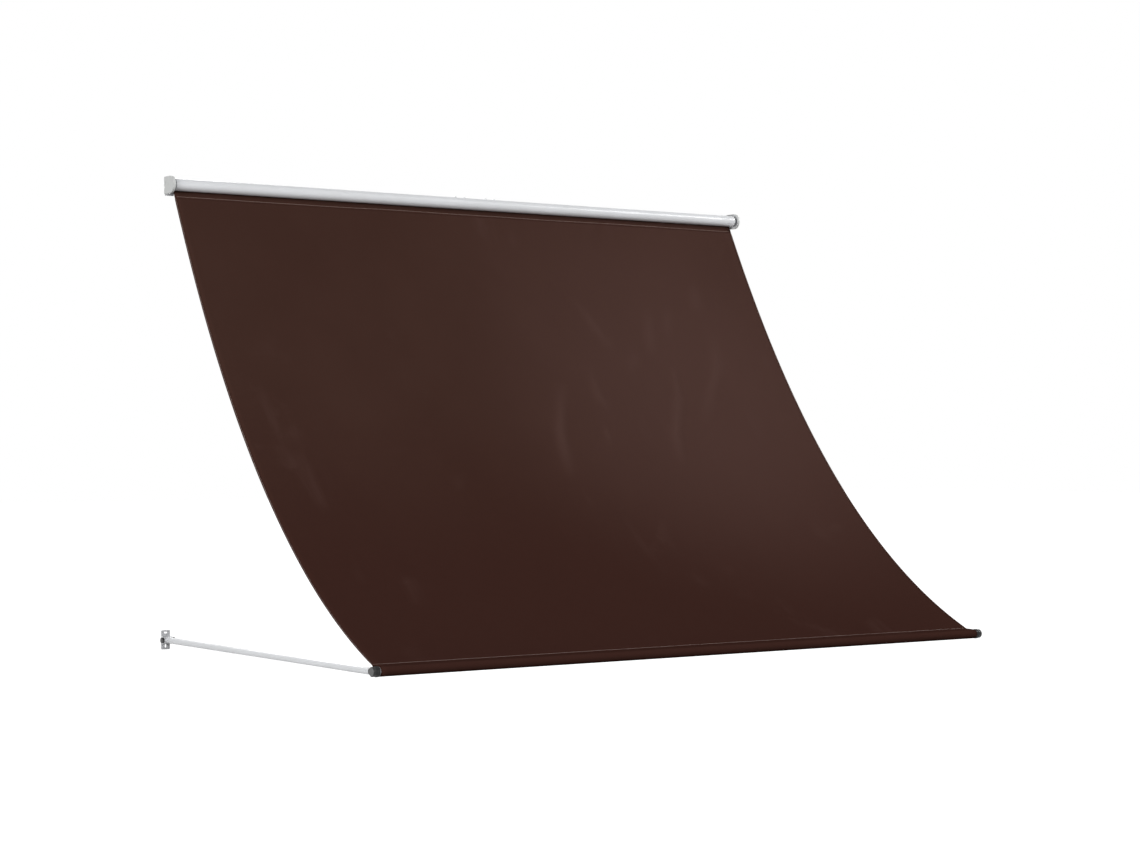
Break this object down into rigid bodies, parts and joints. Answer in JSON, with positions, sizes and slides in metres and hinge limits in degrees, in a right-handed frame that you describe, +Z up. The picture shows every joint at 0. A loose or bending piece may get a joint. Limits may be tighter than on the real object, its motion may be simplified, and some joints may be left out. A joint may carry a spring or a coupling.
{
  "type": "drop arm roller awning",
  "caption": "Retractable wall awning: a spring roller between wall brackets lets out a brown fabric sheet, and a front bar on hinged drop arms holds it out.",
  "frame": {"origin": "on the wall plane, midway between the top brackets, at the height of the roller's axis", "axes": "+X along the wall to the right, +Y into the wall, +Z up; the awning reaches out along -Y"},
  "size_m": [2.5496, 1.447, 1.6435],
  "materials": {
    "white": "satin white powder coat",
    "cover": "pale grey moulded plastic",
    "black": "black moulded plastic",
    "zinc": "zinc plated",
    "spring": "oiled spring steel",
    "nylon": "grey nylon",
    "fabric": "dark brown woven awning cloth"
  },
  "bodies": {
    "wall_mounts": {"top_bracket_left": "white", "top_bracket_right": "white", "end_cover_left": "cover", "end_cover_right": "cover", "idler_pin": "zinc", "spring_shaft": "zinc", "spring_anchor": "nylon", "arm_bracket_left": "white", "arm_bracket_right": "white", "pivot_bolt_left": "zinc", "pivot_bolt_right": "zinc", "pivot_nut_left": "zinc", "pivot_nut_right": "zinc", "pivot_cap_left_outer": "black", "pivot_cap_left_inner": "black", "pivot_cap_right_outer": "black", "pivot_cap_right_inner": "black", "fabric_sheet": "fabric"},
    "roller": {"roller_tube_left": "white", "roller_tube_right": "white", "roller_sleeve": "zinc", "roller_screw_1": "zinc", "roller_screw_2": "zinc", "roller_screw_3": "zinc", "roller_screw_4": "zinc", "roller_plug_left": "nylon", "roller_plug_right": "nylon", "torsion_spring": "spring", "hem_rod": "nylon"},
    "arm_frame": {"arm_hub_left": "white", "arm_hub_right": "white", "arm_tube_left": "white", "arm_tube_right": "white", "hub_rivet_left": "zinc", "hub_rivet_right": "zinc", "corner_rivet_left": "zinc", "corner_rivet_right": "zinc", "corner_knuckle_left": "black", "corner_knuckle_right": "black", "bar_end_plug_left": "black", "bar_end_plug_right": "black", "front_bar_left": "white", "front_bar_right": "white", "bar_joiner": "zinc"}
  },
  "joints": [
    {"name": "arm_lift", "type": "hinge", "parent": "wall_mounts", "child": "arm_frame", "pos_m": [0, -0.02, -1.58], "axis": [-1, 0, 0], "range_deg": [0, 89], "deforming": ["fabric_sheet"]},
    {"name": "roller_turn", "type": "hinge", "parent": "wall_mounts", "child": "roller", "pos_m": [0, -0.047, 0], "axis": [1, 0, 0], "range_deg": [0, 4320]}
  ],
  "couplings": [
    {"joint": "roller_turn", "follows": "arm_lift", "ratio": 48.539}
  ]
}
